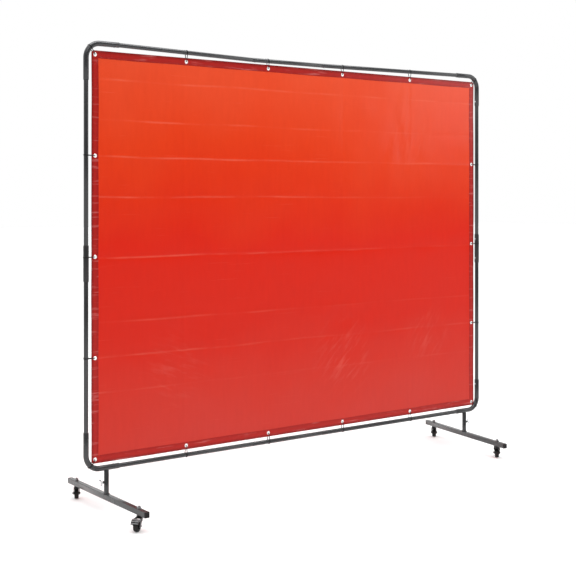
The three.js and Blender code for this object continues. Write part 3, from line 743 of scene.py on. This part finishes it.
# Two rows of stitching hold the hem, on both faces. A stitch is a low ridge of half this length and width.
STITCH, STITCH_WIDTH, STITCH_PITCH = 0.0029, 0.00045, 0.0085
stitches = []
for inset in (HEM - 0.003, HEM - 0.0065):
    for face in (-1, 1):
        for a in outline(inset, STITCH_PITCH):
            level = abs(a[0]) < SHEET_WIDTH / 2 - inset - 0.0005
            run = Vector((1, 0, 0)) if level else Vector((0, 0, 1))
            centre = shape_at(*a) + Vector((0, face * 0.00085, 0))
            out = Vector((0, face, 0))
            wide = run.cross(out)
            corners = [centre + run * u * STITCH + wide * v * STITCH_WIDTH
                       for u, v in ((-1, -1), (1, -1), (1, 1), (-1, 1))]
            top = [centre + out * 0.0003 + run * u * 0.0022 for u in (-1, 1)]
            stitches.append((corners + top, [(0, 1, 5, 4), (2, 3, 4, 5), (1, 2, 5), (3, 0, 4), (3, 2, 1, 0)]))
stitching = piece("hem_stitching", *merge(*stitches), "frame", "curtain_vinyl", HEM_VINYL)

# An eyelet in section: (radius, depth) pairs, the front collar first.
EYELET = [(0.0047, -0.0014), (0.0049, -0.0021), (0.0056, -0.0025), (0.0067, -0.0023), (0.0078, -0.0016),
          (0.0085, -0.0011), (0.0087, -0.0008), (0.0083, -0.0006), (0.0054, -0.0006), (0.0054, 0.0006),
          (0.0081, 0.0006), (0.0085, 0.0009), (0.0080, 0.0013), (0.0067, 0.0014), (0.0060, 0.0019),
          (0.0052, 0.0018), (0.0047, 0.0012)]
STRAP, STRAP_WIDTH = 0.0006, 0.0021  # half the thickness and width of a tie's strap
STRAP_CLEARANCE = 0.0010  # middle of the strap to the tube's surface
STRAP_IN_HOLE = 0.0026  # how far off the hole's centre the tie bears, towards the tube
TIE_HEAD, TIE_HEAD_CORNER = 0.0028, 0.0007
TAIL_WIDTH, TAIL_THICKNESS = 0.0014, 0.0005


def tie_shape(centre, axis_point, radius, lean, tail_length):
    """A cable tie through the grommet at centre and round the tube whose axis passes axis_point."""
    out = axis_point - centre
    reach = out.length
    out.normalize()
    across = Vector((0, 1, 0))
    width_way = out.cross(across)
    ring = radius + STRAP_CLEARANCE
    path = []
    span = math.pi - math.acos(min(1.0, (ring - 0.0025) / (reach - STRAP_IN_HOLE)))
    for k in range(29):
        a = -span + 2 * span * k / 28
        path.append((reach + ring * math.cos(a), ring * math.sin(a)))
    for k in range(9):
        a = math.pi / 2 + math.pi * k / 8
        path.append((STRAP_IN_HOLE + 0.0022 * math.cos(a), 0.0032 * math.sin(a)))
    rings = []
    for i in range(len(path)):
        before, after = path[i - 1], path[(i + 1) % len(path)]
        t = Vector((after[0] - before[0], after[1] - before[1])).normalized()
        normal = (-t.y, t.x)
        share = max(0.0, min(1.0, path[i][0] / reach))
        section = []
        for w, h in ((-1, -0.6), (-0.8, -1), (0.8, -1), (1, -0.6), (1, 0.6), (0.8, 1), (-0.8, 1), (-1, 0.6)):
            u = path[i][0] + normal[0] * h * STRAP
            v = path[i][1] + normal[1] * h * STRAP
            section.append(centre + out * u + across * v
                           + width_way * (w * STRAP_WIDTH * (1.0 - 0.25 * (1 - share)) + lean * share))
        rings.append(section)
    # the ratchet head and the cut tail stand behind the tube
    head_at = centre + out * (reach + 0.0012) + across * (ring + 0.0022) + width_way * lean
    head_rings = []
    for h, grow in ((-0.0020, 0.85), (-0.0014, 1.0), (0.0014, 1.0), (0.0020, 0.85)):
        head_rings.append([head_at + across * h + out * u * grow + width_way * v * grow for u, v in
                           [(p[0], p[1] * 0.92) for p in rounded_square(TIE_HEAD, TIE_HEAD_CORNER, 2)]])
    tail = []
    for step, bend in ((0.0, 0.0), (0.5, 0.0005), (1.0, 0.0015)):
        spot = head_at + out * (0.0022 + step * tail_length) + across * (0.0002 + bend)
        tail.append([spot + across * b * TAIL_THICKNESS + width_way * a * TAIL_WIDTH for a, b in
                     ((-1, -1), (1, -1), (1, 1), (-1, 1))])
    return merge(loft(rings, closed=True), loft(head_rings, caps=True), loft(tail, caps=True))


LONG_TAIL, SHORT_TAIL, MAX_LEAN = 0.011, (0.0015, 0.003), 0.003
grommets, ties = [], []
for count, g in enumerate(GROMMETS, 1):
    centre = shape_at(g.x, g.y)
    spin = Matrix.Translation(centre)
    grommets.append(piece(f"grommet_{count:02d}", *turned(EYELET, 36, "Y"), "frame", "zinc", NICKEL,
                          smooth=60.0, place=spin))
    side = 0 if abs(g.x) < GROMMETS[-1].x - 0.01 else int(math.copysign(1, g.x))
    top = g.y > SHEET_HIGH.z - 0.05
    low = g.y < SHEET_LOW.z + 0.05
    if side and (top or low):
        level = 1 if top else -1
        z = TOP_Z if top else BOTTOM_Z
        bend = Vector((side * (SIDE_X - BEND), 0, z - level * BEND))
        away = Vector((side * 1.0, 0, level * 1.0)).normalized()
        axis_point, radius = bend + away * BEND, SOCKET
    elif side:
        axis_point = Vector((side * SIDE_X, 0, centre.z))
        radius = SOCKET if COUPLER_Z[0] < centre.z < COUPLER_Z[1] else TUBE
    else:
        axis_point, radius = Vector((centre.x, 0, rail_z(1 if top else -1, centre.x))), TUBE
    centre.y = 0.0
    # some ties on the top rail keep a long tail
    tail_length = LONG_TAIL if top and not side and rng.random() < 0.6 else rng.uniform(*SHORT_TAIL)
    tie = tie_shape(centre, axis_point, radius, rng.uniform(-MAX_LEAN, MAX_LEAN), tail_length)
    ties.append(piece(f"cable_tie_{count:02d}", *tie, "frame", "black_plastic"))


# --- Feet --------------------------------------------------------------------

def yaw_frame(origin, along_y):
    """A frame standing at origin on the floor, its Y axis level along along_y."""
    y = Vector((along_y[0], along_y[1], 0)).normalized()
    x = Vector((y.y, -y.x, 0))
    matrix = Matrix((x, y, Vector((0, 0, 1)))).transposed().to_4x4()
    return Matrix.Translation((origin[0], origin[1], 0)) @ matrix


def hardware(node, slot, width):
    """Gives a CAD node its material and softened edges, its own mesh unchanged."""
    obj = nodes[node]
    obj.data.materials.clear()
    obj.data.materials.append(MATERIALS[slot])
    weld = obj.modifiers.new("weld", "WELD")
    weld.merge_threshold = 1e-5
    flat = obj.modifiers.new("flat", "DECIMATE")
    flat.decimate_type = "DISSOLVE"
    flat.angle_limit = math.radians(3)
    bevel = obj.modifiers.new("bevel", "BEVEL")
    bevel.width = width
    bevel.segments = 2
    bevel.limit_method = "ANGLE"
    bevel.angle_limit = math.radians(32)
    bevel.harden_normals = True
    obj.data.shade_smooth()


def weld_ring(radius, height, size):
    """A bead of overlapping weld puddles round a tube standing on a bar."""
    count, per = 26, 6
    rings = []
    for k in range(count * per):
        a = 2 * math.pi * k / (count * per)
        swell = 1.0 + 0.16 * abs(math.sin(math.pi * k / per)) + 0.10 * noise.noise((a * 3, height, radius * 50))
        ring = []
        for s in range(9):
            b = s / 8 * math.pi * 0.5
            reach = size * swell
            ring.append(((radius - 0.0004 + reach * math.sin(b)) * math.cos(a),
                         (radius - 0.0004 + reach * math.sin(b)) * math.sin(a), height + reach * math.cos(b)))
        ring.append(((radius - 0.0006) * math.cos(a), (radius - 0.0006) * math.sin(a), height - 0.0004))
        rings.append(ring)
    return loft(rings, closed=True)


CLAMP_NUT, CLAMP_NUT_BORE, CLAMP_NUT_X = 0.0058, 0.0031, (0.0103, 0.0170)
WELD_SIZE = 0.0033
PLUG_DEPTH = 0.014


def foot(word, sign):
    """A foot bar with its sleeve, weld, clamp nut, end plugs and casters, on the foot's body."""
    body = f"{word}_foot"
    post = joints[f"{word}_foot_turn"]["pos_m"]
    front = joints[f"front_{word}_swivel"]["pos_m"]
    rear = joints[f"rear_{word}_swivel"]["pos_m"]
    place = yaw_frame(post, (rear[0] - front[0], rear[1] - front[1]))
    middle = BAR_BOTTOM + BAR / 2

    def section(half, corner, y):
        return [(a, y, middle + b) for a, b in rounded_square(half, corner)]

    half, end = BAR / 2, BAR_LENGTH / 2
    wall = half - BAR_WALL
    bar_rings = [section(half - 0.0004, BAR_CORNER, -end), section(half, BAR_CORNER, -end + 0.0005),
                 section(half, BAR_CORNER, end - 0.0005), section(half - 0.0004, BAR_CORNER, end),
                 section(wall, 0.0010, end), section(wall, 0.0010, -end)]
    sleeve_top = BOTTOM_Z - SOCKET - GAP
    sleeve = turned([(SLEEVE, BAR_TOP - 0.0002), (SLEEVE, sleeve_top - 0.0006), (SLEEVE - 0.0005, sleeve_top),
                     (SLEEVE_BORE, sleeve_top), (SLEEVE_BORE, BAR_TOP - 0.0002)], 40)
    piece(f"{word}_square_bar", *loft(bar_rings, closed=True), body, "bar_paint",
          replaces=[f"{word}_foot_bar"], place=place)
    piece(f"{word}_post_sleeve", *sleeve, body, "frame_paint", place=place)
    piece(f"{word}_post_weld", *weld_ring(SLEEVE, BAR_TOP, WELD_SIZE), body, "black_steel", WELD,
          place=place)
    screw_z = joints[f"{word}_wing_screw_turn"]["pos_m"][2]
    nut = moved(prism(CLAMP_NUT, *CLAMP_NUT_X, CLAMP_NUT_BORE, axis="X", chamfer=0.0006),
                Matrix.Translation((0, 0, screw_z)))
    if sign < 0:
        nut = moved(nut, Matrix.Diagonal((-1, 1, 1, 1)))
    piece(f"{word}_clamp_nut", *nut, body, "black_steel", place=place)
    for word_end, way in (("front", -1), ("rear", 1)):
        flange = end + GAP
        rings = []
        for grow, corner, y in ((-0.0003, 0.0026, 0.0), (0.0, 0.0028, 0.0006), (0.0, 0.0028, 0.0019),
                                (-0.0005, 0.0026, 0.0026), (-0.0016, 0.0022, 0.0030), (-0.0032, 0.0018, 0.0030),
                                (-0.0038, 0.0016, 0.0026), (-0.0085, 0.0010, 0.0025)):
            rings.append(section(half + grow, corner, way * (flange + y)))
        plug = [section(wall - GAP, 0.0009, way * y) for y in (end - PLUG_DEPTH, flange)]
        piece(f"{word_end}_{word}_bar_plug", *merge(loft(rings, caps=True), loft(plug, caps=True)), body,
              "black_plastic", replaces=[f"{word_end}_{word}_end_cap"], place=place)
        caster(f"{word_end}_{word}", body)


THREAD_START, THREAD_PITCH, THREADS = 0.0084, 0.0009, 4
AXLE_HEAD, AXLE_NUT_BORE, AXLE_HEIGHT = 0.0056, 0.0032, 0.0036
BOLT = 0.0030


def caster(name, foot_body):
    """A swivel caster: stem and cup on the foot, bolt and nut on the fork, tyre and hub on the wheel."""
    stem = Vector(joints[f"{name}_swivel"]["pos_m"])
    axle = Vector(joints[f"{name}_wheel_spin"]["pos_m"])
    trail = Vector((axle.x - stem.x, axle.y - stem.y, 0))
    place = yaw_frame(stem, (-trail.y, trail.x))  # +X of this frame points along the trail
    reach, axle_z = trail.length, axle.z
    fork_top = stem.z - 0.0002
    cup_top = BAR_BOTTOM - GAP
    cup = [(0.0002, fork_top - 0.0048), (0.0066, fork_top - 0.0048), (0.0070, fork_top - 0.0044),
           (0.0070, fork_top - 0.0030), (STEM, fork_top - 0.0028), (STEM, fork_top + GAP),
           (CUP - 0.0012, fork_top + GAP), (CUP - 0.0002, fork_top + 0.0010), (CUP, fork_top + 0.0022),
           (CUP - 0.0006, fork_top + 0.0034), (CUP - 0.0006, cup_top - 0.0040),
           (CUP - 0.0001, cup_top - 0.0030), (CUP - 0.0012, cup_top - 0.0012),
           (0.0096, cup_top - 0.0002), (0.0090, cup_top), (STEM, cup_top)]
    stem_top = BAR_TOP + 0.0112
    shaft = [(STEM, BAR_TOP + THREAD_START)]
    for k in range(THREADS):
        z = BAR_TOP + THREAD_START + k * THREAD_PITCH
        shaft += [(STEM - 0.0004, z + THREAD_PITCH / 2), (STEM, z + THREAD_PITCH)]
    shaft += [(STEM - 0.0006, stem_top), (STEM - 0.0016, stem_top + 0.0007), (0.0002, stem_top + 0.0010)]
    cup += [(STEM, BAR_TOP), (0.0002, BAR_TOP)]
    piece(f"{name}_swivel_stem", *turned(cup, 40, closed=False), foot_body, "black_steel",
          replaces=[f"{name}_caster_stem"], place=place)
    piece(f"{name}_stem_thread", *turned([(0.0002, BAR_TOP), (STEM, BAR_TOP)] + shaft, 32, closed=False),
          foot_body, "black_steel", DULL_STEEL, place=place)
    nut = merge(prism(0.0095, BAR_TOP + GAP + 0.0012, BAR_TOP + 0.0083, 0.0053, chamfer=0.0011, turn=0.3),
                turned([(0.0053, BAR_TOP + GAP), (0.0094, BAR_TOP + GAP), (0.0095, BAR_TOP + GAP + 0.0004),
                        (0.0094, BAR_TOP + GAP + 0.0012), (0.0053, BAR_TOP + GAP + 0.0012)], 40))
    piece(f"{name}_lock_nut", *nut, foot_body, "black_steel", DULL_STEEL,
          replaces=[f"{name}_stem_nut"], place=place)

    wheel_place = place @ Matrix.Translation((reach, 0, axle_z))
    half = WHEEL_WIDTH / 2
    r = axle_z  # the wheel stands on the floor
    side = [(0.0185, half - 0.0012), (0.0205, half - 0.0002), (r - 0.0035, half), (r - 0.0014, half - 0.0007),
            (r - 0.0003, half - 0.0022), (r, half - 0.0040), (r, 0.0012), (r - 0.0004, 0.0006)]
    tread = [(a, -b) for a, b in side] + side[::-1]
    piece(f"{name}_tread", *turned(tread, 72, "Y"), f"{name}_wheel", "tyre_rubber",
          replaces=[f"{name}_tyre"], place=wheel_place)
    boss = FORK_WIDTH / 2 - 0.0025 - GAP
    near = [(0.0032, boss), (0.0056, boss), (0.0061, boss - 0.0005), (0.0066, 0.0056), (0.0078, 0.0046),
            (0.0140, 0.0046), (0.0152, 0.0054), (0.0158, 0.0078), (0.0163, 0.0087), (0.0175, 0.0087),
            (HUB, 0.0083)]
    profile = [(a, -b) for a, b in near] + near[::-1]
    spokes = []
    for k in range(6):
        for face in (-1, 1):
            rib = [[(0.0065, face * 0.0044, s * 0.0008), (0.0150, face * 0.0044, s * 0.0007),
                    (0.0150, face * 0.0068, s * 0.0005), (0.0068, face * 0.0074, s * 0.0006)] for s in (-1, 1)]
            spokes.append(moved(loft(rib, caps=True), Matrix.Rotation(k * math.pi / 3, 4, "Y")))
    piece(f"{name}_rim", *merge(turned(profile, 56, "Y"), *spokes), f"{name}_wheel", "black_plastic",
          replaces=[f"{name}_hub"], place=wheel_place)

    out = FORK_WIDTH / 2 + GAP
    bolt = merge(prism(AXLE_HEAD, -out - AXLE_HEIGHT, -out, axis="Y", chamfer=0.0006),
                 turned([(BOLT, -out), (BOLT, out + 0.0052), (0.0024, out + 0.0057), (0.0002, out + 0.0057)],
                        28, "Y", closed=False))
    piece(f"{name}_wheel_bolt", *bolt, f"{name}_fork", "black_steel", replaces=[f"{name}_axle_bolt"],
          place=wheel_place)
    lock = merge(prism(AXLE_HEAD, out, out + AXLE_HEIGHT, AXLE_NUT_BORE, axis="Y", chamfer=0.0006),
                 turned([(AXLE_NUT_BORE, out + 0.0034), (0.0047, out + 0.0034), (0.0045, out + 0.0043),
                         (0.0038, out + 0.0045), (AXLE_NUT_BORE, out + 0.0045)], 28, "Y"))
    piece(f"{name}_wheel_nut", *lock, f"{name}_fork", "zinc", DULL_STEEL,
          replaces=[f"{name}_axle_nut"], place=wheel_place)
    hardware(f"{name}_fork", "black_steel", 0.0005)
    if f"{name}_brake_pedal" in nodes:
        hardware(f"{name}_brake_pedal", "black_steel", 0.0004)
        # three ribs across the pedal's tread
        ribs = []
        wide = FORK_WIDTH / 2 + GAP + 0.0017
        for degrees in (28, 43, 58):
            a = math.radians(degrees)
            up = Vector((math.cos(a), 0, math.sin(a)))
            run = Vector((-math.sin(a), 0, math.cos(a)))
            ring = []
            for y, grow in ((-wide, 0.4), (-wide + 0.0008, 1.0), (wide - 0.0008, 1.0), (wide, 0.4)):
                ring.append([up * (PEDAL - 0.0004 + h * grow) + run * w * grow + Vector((0, y, 0)) for w, h in
                             ((-0.0024, 0.0), (-0.0020, 0.0011), (-0.0010, 0.0016), (0.0010, 0.0016),
                              (0.0020, 0.0011), (0.0024, 0.0))])
            ribs.append(loft(ring, caps=True))
        piece(f"{name}_pedal_ribs", *merge(*ribs), f"{name}_pedal", "zinc", DULL_STEEL,
              place=wheel_place)


for word, sign in (("left", -1), ("right", 1)):
    foot(word, sign)
    hardware(f"{word}_wing_screw", "zinc", 0.0005)


# --- Floor, light and camera -------------------------------------------------

FLOOR_SIZE, FLOOR_TONE = 40.0, 0.95
corners = [(u * FLOOR_SIZE, v * FLOOR_SIZE, 0) for u, v in ((-1, -1), (1, -1), (1, 1), (-1, 1))]
floor_mesh = bpy.data.meshes.new("studio_floor")
floor_mesh.from_pydata(corners, [], [(0, 1, 2, 3)])
floor = bpy.data.objects.new("studio_floor", floor_mesh)
scene.collection.objects.link(floor)
paint, _, floor_shader, _ = new_material("studio_floor")
floor_shader.inputs["Base Color"].default_value = (FLOOR_TONE, FLOOR_TONE, FLOOR_TONE, 1.0)
floor_shader.inputs["Roughness"].default_value = 0.7
floor_mesh.materials.append(paint)

# A white studio: bright behind the object and overhead, dimmer on the viewer's side.
world = bpy.data.worlds.new("studio")
scene.world = world
world.use_nodes = True
sky = world.node_tree
background = sky.nodes["Background"]
where = sky.nodes.new("ShaderNodeTexCoord").outputs["Generated"]
split = sky.nodes.new("ShaderNodeSeparateXYZ")
sky.links.new(where, split.inputs["Vector"])
behind = range_node(sky, split.outputs["Y"], 0.36, 1.0, -0.35, 0.10)
above = range_node(sky, split.outputs["Z"], 0.0, 0.80, 0.30, 0.80)
sky.links.new(ramp_node(sky, behind, [(0.0, (0.98, 0.99, 1.0)), (1.0, (1.0, 1.0, 1.0))]),
              background.inputs["Color"])
sky.links.new(math_node(sky, "ADD", behind, above), background.inputs["Strength"])


def area(name, where, target, size, power):
    """A soft light of that size in metres and power in watts, facing target."""
    light = bpy.data.lights.new(name, "AREA")
    light.shape = "RECTANGLE"
    light.size, light.size_y = size
    light.energy = power
    obj = bpy.data.objects.new(name, light)
    obj.location = where
    obj.rotation_mode = "QUATERNION"
    obj.rotation_quaternion = (Vector(target) - Vector(where)).to_track_quat("-Z", "Y")
    scene.collection.objects.link(obj)


area("key", (-2.6, -3.4, 4.8), (0, 0, 1.0), (2.5, 2.0), 26)
area("side", (4.4, -2.9, 2.9), (0.6, 0, 1.5), (1.6, 2.2), 27)
area("top", (-0.2, -0.7, 4.7), (0, -0.2, 0.6), (4.5, 1.2), 110)

# The camera stands level. Its lens is in millimetres, and its shift is a share of the view's width.
CAMERA_AT, CAMERA_TURN = (-3.545, -4.371, 1.419), -35.12
camera = bpy.data.cameras.new("camera")
camera.sensor_width = 36.0
camera.lens = 69.5125
camera.shift_x, camera.shift_y = 0.10069, -0.16042
camera.clip_end = 200
view = bpy.data.objects.new("camera", camera)
view.location = CAMERA_AT
view.rotation_euler = (math.pi / 2, 0, math.radians(CAMERA_TURN))
scene.collection.objects.link(view)
scene.camera = view
scene.view_settings.view_transform = "Standard"
